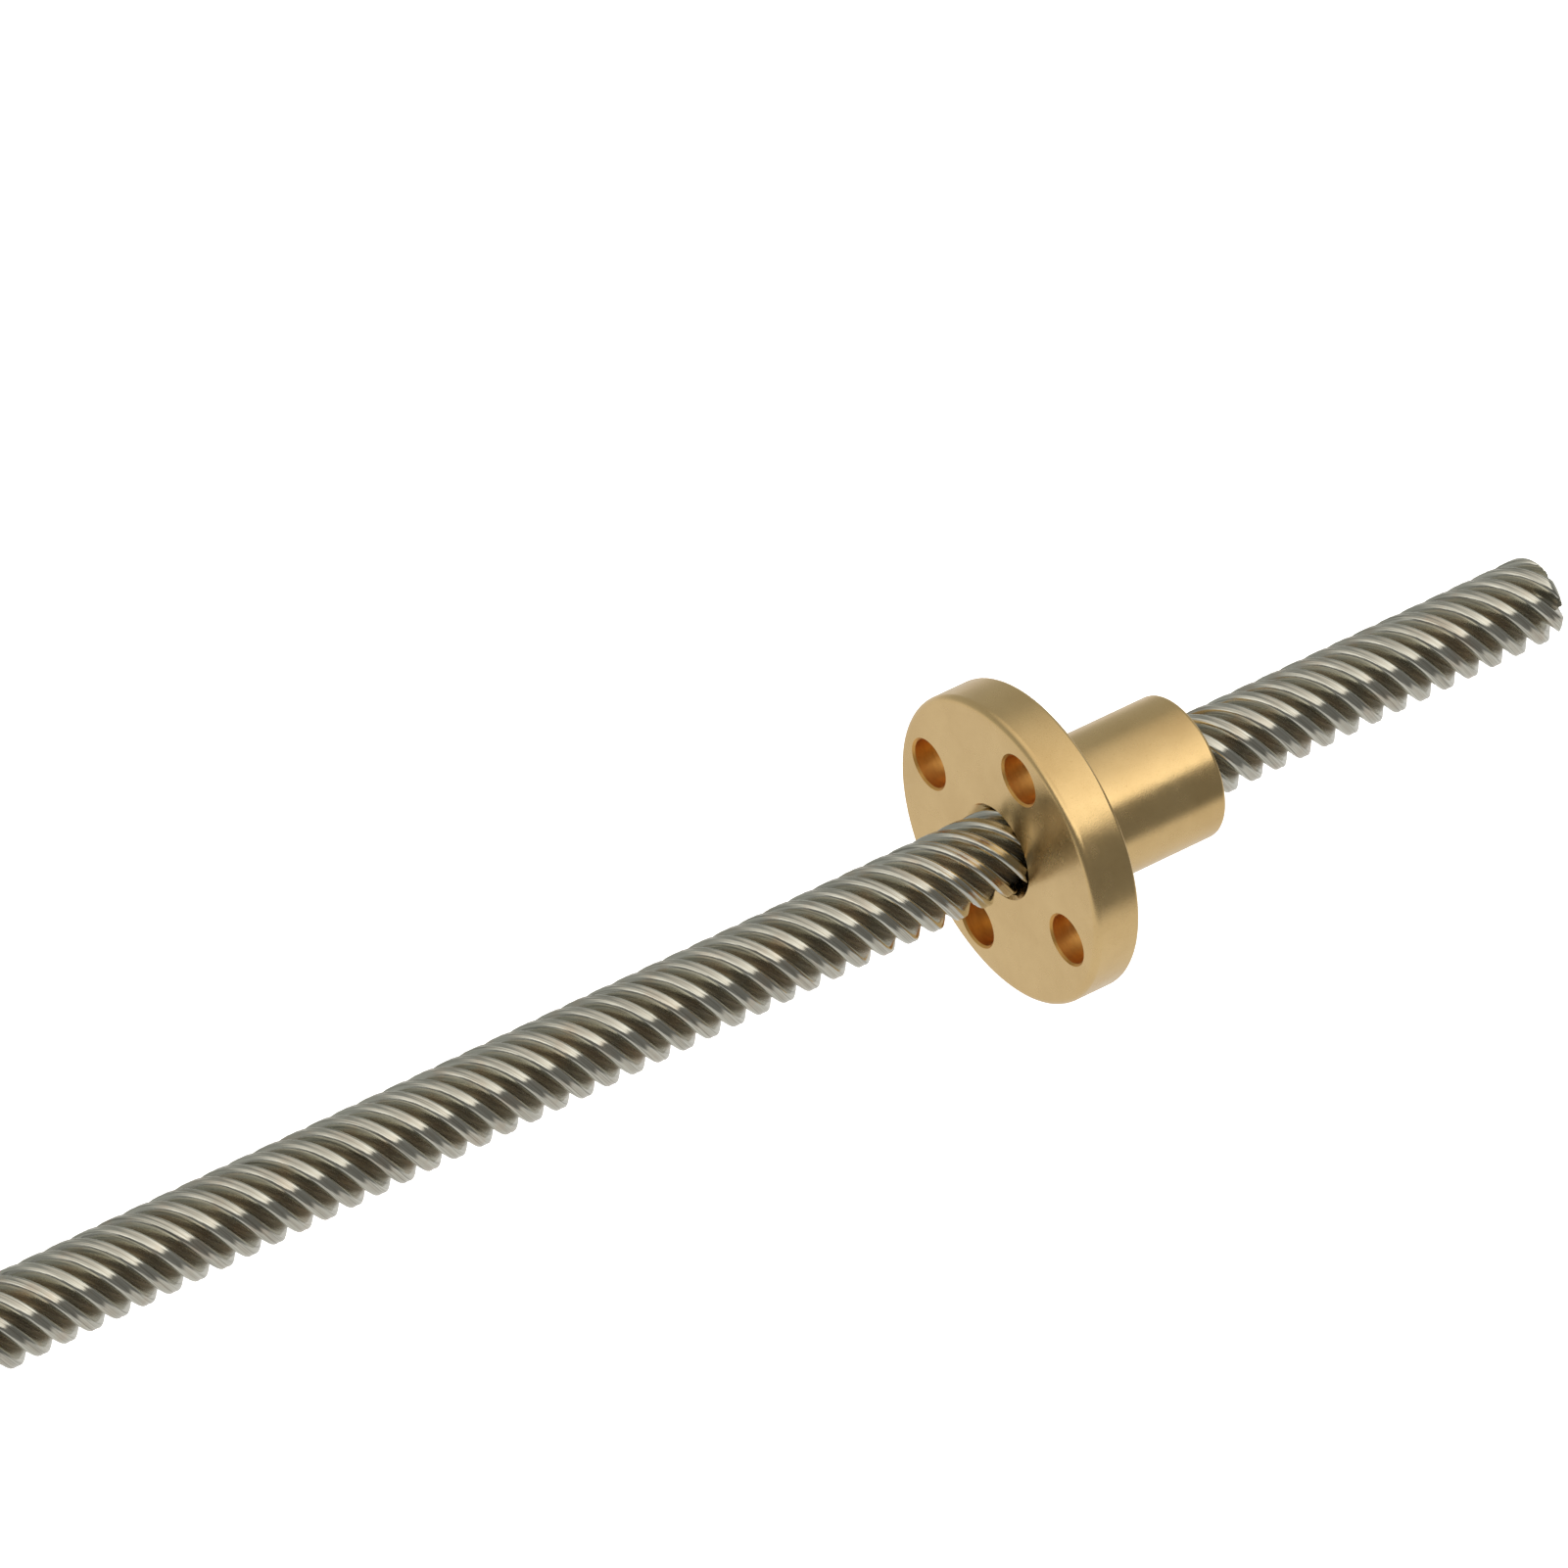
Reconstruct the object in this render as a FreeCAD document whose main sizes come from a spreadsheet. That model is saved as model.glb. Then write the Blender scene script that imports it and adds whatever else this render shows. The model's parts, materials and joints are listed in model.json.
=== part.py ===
"""A stepper motor whose shaft is a six-start lead screw, with its flanged brass nut.

Millimetres. +X runs along the screw, away from the motor, and +Z is up. The origin is the centre of the
motor's mounting face. Everything behind that face has negative x. The motor is a two-phase hybrid stepper
with 50 rotor teeth, so the rotor turns in two ball bearings, and the nut, which doesn't turn, rides on the
screw. The thread is right-handed, and the nut's grooves are in step with the screw's ridges as drawn.
"""
import FreeCAD, Part
import math
import os

import Sketcher
from FreeCAD import Placement, Rotation, Vector

SIZES = {
    # motor frame
    "frame_side": 42.3,
    "bell_corner": 4.0,
    "core_corner": 5.5,
    "bell_edge_chamfer": 0.6,
    "front_bell_length": 10.0,
    "core_length": 27.0,
    "rear_bell_length": 11.0,
    "front_wall": 3.5,
    "rear_wall": 4.0,
    "bell_cavity_radius": 19.2,
    "hub_radius": 10.0,
    "front_hub_end": 8.0,
    "rear_hub_length": 3.5,
    "pilot_radius": 11.0,
    "pilot_height": 2.0,
    "hub_face_margin": 0.01,
    "rear_seat_floor": 1.0,
    "screw_opening_radius": 5.0,
    "tail_opening_radius": 3.5,
    # four corner holes, for the mounting screws in front and the assembly screws behind
    "hole_spacing": 31.0,
    "tapped_radius": 1.5,
    "tapped_depth": 4.8,
    "screw_end_hole_radius": 1.3,
    "clearance_radius": 1.7,
    "counterbore_radius": 3.1,
    "counterbore_depth": 2.6,
    "assembly_screw_radius": 1.45,
    "assembly_screw_end_radius": 1.25,
    "assembly_screw_end_clearance": 0.3,
    "assembly_head_radius": 2.75,
    "assembly_head_height": 2.4,
    "assembly_screw_tip": 5.5,
    "assembly_screw_clocking_degrees": 20.0,
    "assembly_screw_turn_degrees": 35.0,
    "cross_slot_width": 0.8,
    "cross_slot_length": 3.2,
    "cross_slot_depth": 1.4,
    # stator and rotor
    "poles": 8,
    "rotor_teeth": 50,
    "rotor_radius": 13.0,
    "stator_bore_radius": 13.1,
    "tooth_depth": 0.7,
    "tooth_gap_width": 0.9,
    "shoe_half_degrees": 19.6,
    "shoe_back_radius": 14.5,
    "slot_outer_radius": 18.0,
    "slot_overrun": 0.5,
    "tooth_gap_overrun": 0.3,
    "neck_width": 5.0,
    "rotor_start": 11.5,
    "cup_length": 10.75,
    "magnet_length": 2.5,
    "magnet_radius": 11.5,
    # coil formers and coils
    "former_wall": 0.5,
    "former_end": 0.8,
    "former_rim_inner": 18.2,
    "former_rim_outer": 19.0,
    "former_rim_height": 4.4,
    "former_lip": 0.6,
    "former_lip_width": 9.6,
    "former_overlap": 0.2,
    "former_bite": 0.4,
    "coil_inner_radius": 14.6,
    "coil_outer_radius": 17.05,
    "coil_thickness": 2.5,
    "coil_end_thickness": 3.4,
    "coil_corner": 1.2,
    "coil_gap": 0.05,
    # shaft and ball bearings, 5 x 16 x 5
    "shaft_radius": 2.5,
    "tail_end": 47.5,
    "bearing_outer_radius": 8.0,
    "bearing_width": 5.0,
    "inner_ring_radius": 3.95,
    "outer_ring_radius": 6.55,
    "ball_circle_radius": 5.25,
    "ball_radius": 1.4,
    "race_radius": 1.46,
    "ball_count": 7,
    "cage_thickness": 1.0,
    "cage_width": 3.4,
    "cage_pocket_radius": 1.5,
    "shield_thickness": 0.25,
    "shield_gap": 0.15,
    "front_bearing_x": 7.0,
    "rear_bearing_x": 46.0,
    "collar_radius": 3.6,
    "spacer_radius": 3.7,
    # retaining ring and wave washer behind the rear bearing
    "clip_groove_radius": 2.15,
    "clip_outer_radius": 3.9,
    "clip_thickness": 0.5,
    "clip_gap_width": 3.0,
    "clip_back": 46.65,
    "washer_inner_radius": 6.2,
    "washer_outer_radius": 7.8,
    "washer_thickness": 0.25,
    "washer_wave": 0.28,
    "washer_waves": 3,
    "washer_back": 46.62,
    # terminal board and six-way header
    "board_inner_radius": 10.6,
    "board_outer_radius": 18.6,
    "board_thickness": 0.8,
    "board_back": 43.9,
    "header_width": 6.5,
    "header_length": 15.0,
    "header_depth": 5.8,
    "header_wall": 0.8,
    "header_floor": 1.3,
    "header_back": 45.25,
    "header_top": 24.9,
    "header_key_width": 1.8,
    "window_gap": 0.35,
    "window_reach": 10.0,
    "pin_size": 0.5,
    "pin_pitch": 2.0,
    "pin_count": 6,
    "pin_length": 6.4,
    "pin_recess": 1.2,
    # lead screw thread, six starts of 2 mm pitch
    "thread_starts": 6,
    "thread_lead": 12.0,
    "screw_crest_radius": 3.0,
    "screw_root_radius": 1.9,
    "screw_crest_half_degrees": 13.0,
    "screw_root_half_degrees": 8.0,
    "thread_clocking_degrees": 24.0,
    "thread_start": 3.0,
    "thread_runout": 1.0,
    "screw_tip": 150.0,
    "tip_chamfer": 0.9,
    "runout_chamfer": 0.5,
    # flanged nut
    "nut_face": 105.0,
    "nut_length": 15.0,
    "nut_flange_radius": 11.0,
    "nut_flange_thickness": 3.5,
    "nut_barrel_radius": 5.1,
    "nut_hole_radius": 1.75,
    "nut_hole_circle": 16.0,
    "nut_hole_count": 4,
    "nut_clocking_degrees": 15.8,
    "nut_edge_chamfer": 0.5,
    "nut_crest_radius": 3.2,
    "nut_root_radius": 2.1,
    "thread_play": 0.15,
    "nut_mouth_radius": 3.45,
    "nut_mouth_depth": 0.9,
    # how far cutting shapes reach past what they cut
    "overrun": 1.0,
    "trim_margin": 0.1,
}
FRONT_BELL_BACK = "-sizes.front_bell_length"
CORE_BACK = "-sizes.front_bell_length - sizes.core_length"
MOTOR_BACK = "-sizes.front_bell_length - sizes.core_length - sizes.rear_bell_length"
TURN_Z_TO_X = Rotation(Vector(0, 1, 0), 90)
X_AXIS = Vector(1, 0, 0)

doc = FreeCAD.newDocument("stepper_with_lead_screw")
sheet = doc.addObject("Spreadsheet::Sheet", "sizes")
for row, (alias, value) in enumerate(SIZES.items(), 1):
    sheet.set(f"A{row}", alias)
    sheet.set(f"B{row}", str(value))
    sheet.setAlias(f"B{row}", alias)
doc.recompute()
nodes = []


def size(alias):
    """The value of one cell of the sheet."""
    return float(sheet.get(alias))


def node(shape_object, name):
    """Marks an object as a sub-part, whose Label names its file."""
    shape_object.Label = name
    nodes.append(shape_object)
    return shape_object


# ---- Part primitives and booleans, all lying along X


def cylinder(name, radius, start, length):
    """A cylinder on the X axis. radius, start and length are expressions."""
    made = doc.addObject("Part::Cylinder", name)
    made.Placement = Placement(Vector(), TURN_Z_TO_X)
    made.setExpression("Radius", radius)
    made.setExpression("Height", length)
    made.setExpression("Placement.Base.x", start)
    return made


def cone(name, first_radius, last_radius, start, length):
    """A cone on the X axis, from first_radius at start to last_radius."""
    made = doc.addObject("Part::Cone", name)
    made.Placement = Placement(Vector(), TURN_Z_TO_X)
    made.setExpression("Radius1", first_radius)
    made.setExpression("Radius2", last_radius)
    made.setExpression("Height", length)
    made.setExpression("Placement.Base.x", start)
    return made


def box(name, x, y, z, dx, dy, dz):
    """A box from its lowest corner and its three sides, as expressions."""
    made = doc.addObject("Part::Box", name)
    for target, expression in (
        ("Length", dx),
        ("Width", dy),
        ("Height", dz),
        ("Placement.Base.x", x),
        ("Placement.Base.y", y),
        ("Placement.Base.z", z),
    ):
        made.setExpression(target, expression)
    return made


def cut(name, base, tool, refine=True):
    made = doc.addObject("Part::Cut", name)
    made.Base = base
    made.Tool = tool
    made.Refine = refine
    return made


def fuse(name, parts, refine=True):
    made = doc.addObject("Part::MultiFuse", name)
    made.Shapes = parts
    made.Refine = refine
    return made


def group(name, parts):
    """Several separate solids in one object, such as the four screws."""
    made = doc.addObject("Part::Compound", name)
    made.Links = parts
    return made


def ring(name, outer, inner, start, length):
    """A plain ring on the X axis."""
    return cut(
        name,
        cylinder(name + "_outer", outer, start, length),
        cylinder(name + "_bore", inner, start, length),
    )


def turned(shape_object, degrees):
    """Turns an object that was made in place about the X axis."""
    shape_object.Placement = Placement(Vector(), Rotation(X_AXIS, degrees)).multiply(shape_object.Placement)
    return shape_object


# ---- PartDesign bodies, whose sketches all lie across X


def new_body(name):
    return node(doc.addObject("PartDesign::Body", name), name)


def sketch_at(body, name, x):
    """A sketch across the X axis at x, with its own x along Y and its own y along Z."""
    plane = next(o for o in body.Origin.OriginFeatures if o.Role == "YZ_Plane")
    sketch = body.newObject("Sketcher::SketchObject", f"{body.Name}_{name}")
    sketch.AttachmentSupport = (plane, [""])
    sketch.MapMode = "FlatFace"
    sketch.setExpression("AttachmentOffset.Base.z", x)
    return sketch


def bind(sketch, constraint, expression):
    """Adds a constraint whose value is an expression."""
    number = sketch.addConstraint(constraint)
    sketch.setExpression(f"Constraints[{number}]", expression)


def add_circle(sketch, radius, y="0", z="0"):
    """A circle with its radius and its centre bound to expressions."""
    start = Vector(1, 1, 0)
    number = sketch.addGeometry(Part.Circle(start, Vector(0, 0, 1), 1.0), False)
    bind(sketch, Sketcher.Constraint("Radius", number, 1.0), radius)
    bind(sketch, Sketcher.Constraint("DistanceX", -1, 1, number, 3, 1.0), y)
    bind(sketch, Sketcher.Constraint("DistanceY", -1, 1, number, 3, 1.0), z)


def add_rectangle(sketch, width, height, y="0", z="0"):
    """A rectangle centred on (y, z), with its sides bound to expressions."""
    corners = [Vector(-1, -1, 0), Vector(1, -1, 0), Vector(1, 1, 0), Vector(-1, 1, 0)]
    first = sketch.GeometryCount
    for n in range(4):
        sketch.addGeometry(Part.LineSegment(corners[n], corners[(n + 1) % 4]), False)
    for n in range(4):
        sketch.addConstraint(Sketcher.Constraint("Coincident", first + n, 2, first + (n + 1) % 4, 1))
        sketch.addConstraint(Sketcher.Constraint("Vertical" if n % 2 else "Horizontal", first + n))
    bind(sketch, Sketcher.Constraint("DistanceX", first, 1, first, 2, 2.0), width)
    bind(sketch, Sketcher.Constraint("DistanceY", first + 1, 1, first + 1, 2, 2.0), height)
    bind(sketch, Sketcher.Constraint("DistanceX", -1, 1, first, 1, -1.0), f"{y} - ({width}) / 2")
    bind(sketch, Sketcher.Constraint("DistanceY", -1, 1, first, 1, -1.0), f"{z} - ({height}) / 2")


def add_outline(sketch, edges):
    """A closed outline of line and arc geometry."""
    for edge in edges:
        sketch.addGeometry(edge, False)


def pad(body, sketch, length):
    """Adds material from the sketch towards +X."""
    made = body.newObject("PartDesign::Pad", sketch.Name + "_pad")
    made.Profile = sketch
    made.setExpression("Length", length)
    return made


def pocket(body, sketch, length, forward=False):
    """Cuts from the sketch towards -X, or towards +X if forward."""
    made = body.newObject("PartDesign::Pocket", sketch.Name + "_pocket")
    made.Profile = sketch
    made.Reversed = forward
    made.setExpression("Length", length)
    return made


def around(body, feature, count):
    """Repeats a feature around the X axis."""
    made = body.newObject("PartDesign::PolarPattern", feature.Name + "_pattern")
    made.Originals = [feature]
    made.Axis = (feature.Profile[0], ["N_Axis"])
    made.Angle = 360
    made.setExpression("Occurrences", count)
    body.Tip = made
    return made


def chamfer(body, wanted, distance):
    """Chamfers the edges of the body's tip for which wanted(edge) is true."""
    doc.recompute()
    tip = body.Tip
    names = [f"Edge{n}" for n, edge in enumerate(tip.Shape.Edges, 1) if wanted(edge)]
    made = body.newObject("PartDesign::Chamfer", body.Name + "_chamfer")
    made.Base = (tip, names)
    made.setExpression("Size", distance)
    body.Tip = made
    return made


def corner_edge(edge):
    """True for the four long edges of a square block along X."""
    low, high = edge.BoundBox.XMin, edge.BoundBox.XMax
    across = max(edge.BoundBox.YLength, edge.BoundBox.ZLength)
    return high - low > 1 and across < 1e-6


def on_plane_x(edge, x):
    return abs(edge.BoundBox.XMin - x) < 1e-6 and abs(edge.BoundBox.XMax - x) < 1e-6


def round_edge(edge, x, radius):
    """True for the circular edge of this radius at x."""
    return on_plane_x(edge, x) and abs(edge.BoundBox.YLength / 2 - radius) < 1e-3


def polar(radius, degrees):
    """A point of a sketch across X."""
    return Vector(radius * math.cos(math.radians(degrees)), radius * math.sin(math.radians(degrees)), 0)


# ---- motor frame


def corner_holes(body, name, x, radius, depth):
    """The four corner holes, cut from x towards -X."""
    sketch = sketch_at(body, name, x)
    add_circle(sketch, radius, "sizes.hole_spacing / 2", "sizes.hole_spacing / 2")
    return around(body, pocket(body, sketch, depth), "4")


def hollow(body, name, x, depth, forward):
    """A round cavity around a bearing hub, cut inwards from an end bell's open side."""
    sketch = sketch_at(body, name, x)
    add_circle(sketch, "sizes.bell_cavity_radius")
    add_circle(sketch, "sizes.hub_radius")
    return pocket(body, sketch, depth, forward)


def bore(body, name, x, radius, depth, forward=False):
    sketch = sketch_at(body, name, x)
    add_circle(sketch, radius)
    return pocket(body, sketch, depth, forward)


def square_block(body, x, length, corner):
    sketch = sketch_at(body, "block", x)
    add_rectangle(sketch, "sizes.frame_side", "sizes.frame_side")
    pad(body, sketch, length)
    return chamfer(body, corner_edge, corner)


def front_end_bell():
    body = new_body("front_end_bell")
    square_block(body, FRONT_BELL_BACK, "sizes.front_bell_length", "sizes.bell_corner")
    chamfer(body, lambda edge: on_plane_x(edge, 0.0), "sizes.bell_edge_chamfer").Label = "front_rim"
    pilot = sketch_at(body, "pilot", "0")
    add_circle(pilot, "sizes.pilot_radius")
    pad(body, pilot, "sizes.pilot_height")
    hollow(body, "cavity", FRONT_BELL_BACK, "sizes.front_bell_length - sizes.front_wall", True)
    bore(body, "hub_face", FRONT_BELL_BACK, "sizes.hub_radius + sizes.hub_face_margin",
         "sizes.front_bell_length - sizes.front_hub_end", True)
    bore(body, "seat", FRONT_BELL_BACK, "sizes.bearing_outer_radius",
         "sizes.front_bell_length - sizes.front_bearing_x + sizes.bearing_width", True)
    bore(body, "opening", "sizes.pilot_height", "sizes.screw_opening_radius", "sizes.front_bell_length")
    corner_holes(body, "tapped", "0", "sizes.tapped_radius", "sizes.tapped_depth")
    corner_holes(body, "screw_ends", "-sizes.tapped_depth", "sizes.screw_end_hole_radius",
                 "sizes.front_bell_length - sizes.tapped_depth")


def rear_end_bell():
    body = new_body("rear_end_bell")
    square_block(body, MOTOR_BACK, "sizes.rear_bell_length", "sizes.bell_corner")
    back = size("front_bell_length") + size("core_length") + size("rear_bell_length")
    chamfer(body, lambda edge: on_plane_x(edge, -back), "sizes.bell_edge_chamfer").Label = "rear_rim"
    depth = "sizes.rear_bell_length - sizes.rear_wall"
    hollow(body, "cavity", CORE_BACK, depth, False)
    bore(body, "hub_face", CORE_BACK, "sizes.hub_radius + sizes.hub_face_margin",
         f"{depth} - sizes.rear_hub_length")
    bore(body, "seat", CORE_BACK, "sizes.bearing_outer_radius",
         "sizes.rear_bell_length - sizes.rear_seat_floor")
    bore(body, "tail", CORE_BACK, "sizes.tail_opening_radius", "sizes.rear_bell_length + sizes.overrun")
    corner_holes(body, "holes", CORE_BACK, "sizes.clearance_radius", "sizes.rear_bell_length")
    corner_holes(body, "counterbores", f"{MOTOR_BACK} + sizes.counterbore_depth",
                 "sizes.counterbore_radius", "sizes.counterbore_depth")
    window = sketch_at(body, "window", "-sizes.header_back - sizes.window_gap")
    add_rectangle(window, "sizes.window_reach", "sizes.header_length + 2 * sizes.window_gap",
                  "-sizes.frame_side / 2")
    pocket(body, window, "sizes.header_width + 2 * sizes.window_gap", True)


def slot_outline():
    """One winding slot, between the necks and the shoes of two neighbouring poles."""
    half_pitch = 180 / size("poles")
    neck = size("neck_width") / 2
    outer, back = size("slot_outer_radius"), size("shoe_back_radius")
    inside = size("stator_bore_radius") - size("slot_overrun")
    outer_corner = math.degrees(math.asin(neck / outer))
    back_corner = math.degrees(math.asin(neck / back))
    shoe = size("shoe_half_degrees")
    far = 2 * half_pitch
    inner = [polar(inside, shoe), polar(inside, far - shoe)]
    tips = [polar(back, shoe), polar(back, far - shoe)]
    backs = [polar(back, back_corner), polar(back, far - back_corner)]
    outers = [polar(outer, outer_corner), polar(outer, far - outer_corner)]
    return [
        Part.LineSegment(inner[0], tips[0]),
        Part.Arc(tips[0], polar(back, (shoe + back_corner) / 2), backs[0]),
        Part.LineSegment(backs[0], outers[0]),
        Part.Arc(outers[0], polar(outer, half_pitch), outers[1]),
        Part.LineSegment(outers[1], backs[1]),
        Part.Arc(backs[1], polar(back, far - (shoe + back_corner) / 2), tips[1]),
        Part.LineSegment(tips[1], inner[1]),
        Part.LineSegment(inner[1], inner[0]),
    ]


def tooth_gap(low, high, degrees):
    """A four-sided gap between two teeth, from one radius to another."""
    half = size("tooth_gap_width") / 2
    corners = [Vector(low, -half, 0), Vector(high, -half, 0), Vector(high, half, 0), Vector(low, half, 0)]
    turn = Rotation(Vector(0, 0, 1), degrees)
    corners = [turn.multVec(corner) for corner in corners]
    return [Part.LineSegment(corners[n], corners[(n + 1) % 4]) for n in range(4)]


def stator_core():
    body = new_body("stator_core")
    square_block(body, CORE_BACK, "sizes.core_length", "sizes.core_corner")
    bore(body, "bore", FRONT_BELL_BACK, "sizes.stator_bore_radius", "sizes.core_length")
    slots = sketch_at(body, "slot", FRONT_BELL_BACK)
    add_outline(slots, slot_outline())
    around(body, pocket(body, slots, "sizes.core_length"), "sizes.poles")
    gaps = sketch_at(body, "gaps", FRONT_BELL_BACK)
    low = size("stator_bore_radius") - size("tooth_gap_overrun")
    high = size("stator_bore_radius") + size("tooth_depth")
    tooth_pitch = 360 / size("rotor_teeth")
    for step in range(-2, 3):
        add_outline(gaps, tooth_gap(low, high, step * tooth_pitch))
    around(body, pocket(body, gaps, "sizes.core_length"), "sizes.poles")
    corner_holes(body, "holes", FRONT_BELL_BACK, "sizes.clearance_radius", "sizes.core_length")


def assembly_screw(number):
    """One long screw on the X axis, with a crossed slot in its head and its end drawn at the thread's core."""
    back = f"({MOTOR_BACK})"
    seat = f"{back} + sizes.counterbore_depth"
    head_face = f"{seat} - sizes.assembly_head_height"
    bell_back = f"({FRONT_BELL_BACK} - sizes.assembly_screw_end_clearance)"
    head = cylinder(f"screw_head_{number}", "sizes.assembly_head_radius", head_face,
                    "sizes.assembly_head_height")
    shank = cylinder(f"screw_shank_{number}", "sizes.assembly_screw_radius", seat, f"{bell_back} - ({seat})")
    end = cylinder(f"screw_end_{number}", "sizes.assembly_screw_end_radius", bell_back,
                   f"-{bell_back} - sizes.assembly_screw_tip")
    wide, narrow = "sizes.cross_slot_length", "sizes.cross_slot_width"
    flat = box(f"screw_slot_y_{number}", head_face, f"-{wide} / 2", f"-{narrow} / 2",
               "sizes.cross_slot_depth", wide, narrow)
    upright = box(f"screw_slot_z_{number}", head_face, f"-{narrow} / 2", f"-{wide} / 2",
                  "sizes.cross_slot_depth", narrow, wide)
    blank = fuse(f"screw_blank_{number}", [head, shank, end])
    return cut(f"screw_{number}", blank, fuse(f"screw_cross_{number}", [flat, upright]))


def assembly_screws():
    """Four screws that clamp the two end bells to the core, each turned as it happened to tighten."""
    screws = []
    reach = size("hole_spacing") / 2
    for number in range(4):
        screw = assembly_screw(number)
        corner = Rotation(X_AXIS, 90 * number).multVec(Vector(0, reach, reach))
        turn = size("assembly_screw_clocking_degrees") + number * size("assembly_screw_turn_degrees")
        screw.Placement = Placement(corner, Rotation(X_AXIS, turn))
        screws.append(screw)
    node(group("assembly_screws", screws), "assembly_screws")


# ---- coils


def coil_former(name, inner_end, direction):
    """A moulded former half: a rim on the core's end, and a sleeve and a lip on each pole.

    inner_end is the core's end face, and direction is 1 if the former stands towards +X.
    """
    def along(x, length):
        """(start, length) of a stretch that leaves x in this former's direction."""
        return (x, length) if direction > 0 else (f"{x} - ({length})", length)

    rim_start, rim_length = along(inner_end, "sizes.former_rim_height")
    pieces = [ring(name + "_rim", "sizes.former_rim_outer", "sizes.former_rim_inner", rim_start, rim_length)]
    sleeve_width = "(sizes.neck_width + 2 * sizes.former_wall)"
    half_core = "sizes.core_length / 2"
    middle = f"{inner_end} - {half_core}" if direction > 0 else f"{inner_end} + {half_core}"
    for n in range(int(size("poles"))):
        start, length = along(middle, f"{half_core} + sizes.former_end")
        sleeve = box(f"{name}_sleeve_{n}", start, "sizes.coil_inner_radius", f"-{sleeve_width} / 2",
                     length, "sizes.former_rim_inner + sizes.former_overlap - sizes.coil_inner_radius",
                     sleeve_width)
        start, length = along(middle, half_core)
        neck = box(f"{name}_neck_{n}", start, "sizes.coil_inner_radius - sizes.overrun",
                   "-sizes.neck_width / 2", length,
                   "sizes.former_rim_outer - sizes.coil_inner_radius + 2 * sizes.overrun", "sizes.neck_width")
        start, length = along(inner_end, "sizes.former_rim_height")
        lip = box(f"{name}_lip_{n}", start, "sizes.coil_inner_radius - sizes.former_lip",
                  "-sizes.former_lip_width / 2", length, "sizes.former_lip", "sizes.former_lip_width")
        bite_length = f"{half_core} + sizes.overrun"
        bite_start = f"{inner_end} - ({bite_length})" if direction > 0 else inner_end
        bite = box(f"{name}_bite_{n}", bite_start, "sizes.slot_outer_radius - sizes.former_bite",
                   f"-{sleeve_width} / 2 - sizes.overrun", bite_length,
                   "sizes.former_rim_outer - sizes.slot_outer_radius + 2 * sizes.overrun",
                   f"{sleeve_width} + 2 * sizes.overrun")
        hollowed = cut(f"{name}_cleared_{n}", cut(f"{name}_hollow_{n}", sleeve, neck), bite)
        piece = fuse(f"{name}_pole_{n}", [hollowed, lip])
        pieces.append(turned(piece, 360 / size("poles") * n))
    node(fuse(name, pieces), name)


def coil(number):
    """One winding: a rounded rectangular loop around a pole's neck."""
    half_inner = "(sizes.neck_width / 2 + sizes.former_wall + sizes.coil_gap)"
    end = "(sizes.former_end + sizes.coil_gap)"
    depth = "sizes.coil_outer_radius - sizes.coil_inner_radius - 2 * sizes.coil_gap"
    low = "sizes.coil_inner_radius + sizes.coil_gap"
    inner = box(f"coil_window_{number}", f"{CORE_BACK} - {end}", f"{low} - sizes.overrun", f"-{half_inner}",
                f"sizes.core_length + 2 * {end}", f"{depth} + 2 * sizes.overrun", f"2 * {half_inner}")
    ends = f"({end} + sizes.coil_end_thickness)"
    sides = f"({half_inner} + sizes.coil_thickness)"
    outer = box(f"coil_block_{number}", f"{CORE_BACK} - {ends}", low, f"-{sides}",
                f"sizes.core_length + 2 * {ends}", depth, f"2 * {sides}")
    doc.recompute()
    rounded = doc.addObject("Part::Fillet", f"coil_rounded_{number}")
    rounded.Base = outer
    radius = size("coil_corner")
    rounded.Edges = [
        (n, radius, radius) for n, edge in enumerate(outer.Shape.Edges, 1) if edge.BoundBox.YLength > 1
    ]
    return turned(cut(f"coil_{number}", rounded, inner), 360 / size("poles") * number)


def coils():
    """The coils of the two phases sit on alternate poles."""
    made = [coil(number) for number in range(int(size("poles")))]
    node(group("phase_a_coils", made[0::2]), "phase_a_coils")
    node(group("phase_b_coils", made[1::2]), "phase_b_coils")


# ---- ball bearings


def ball_circle(name, middle, radius):
    """A circle of spheres about X, one per ball of a bearing whose middle is at x = middle."""
    spheres = []
    count = int(size("ball_count"))
    for n in range(count):
        sphere = doc.addObject("Part::Sphere", f"{name}_{n}")
        sphere.setExpression("Radius", radius)
        sphere.setExpression("Placement.Base.x", middle)
        angle = f"{360 * n / count:.6f} deg"
        sphere.setExpression("Placement.Base.y", f"sizes.ball_circle_radius * cos({angle})")
        sphere.setExpression("Placement.Base.z", f"sizes.ball_circle_radius * sin({angle})")
        spheres.append(sphere)
    return spheres


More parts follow.
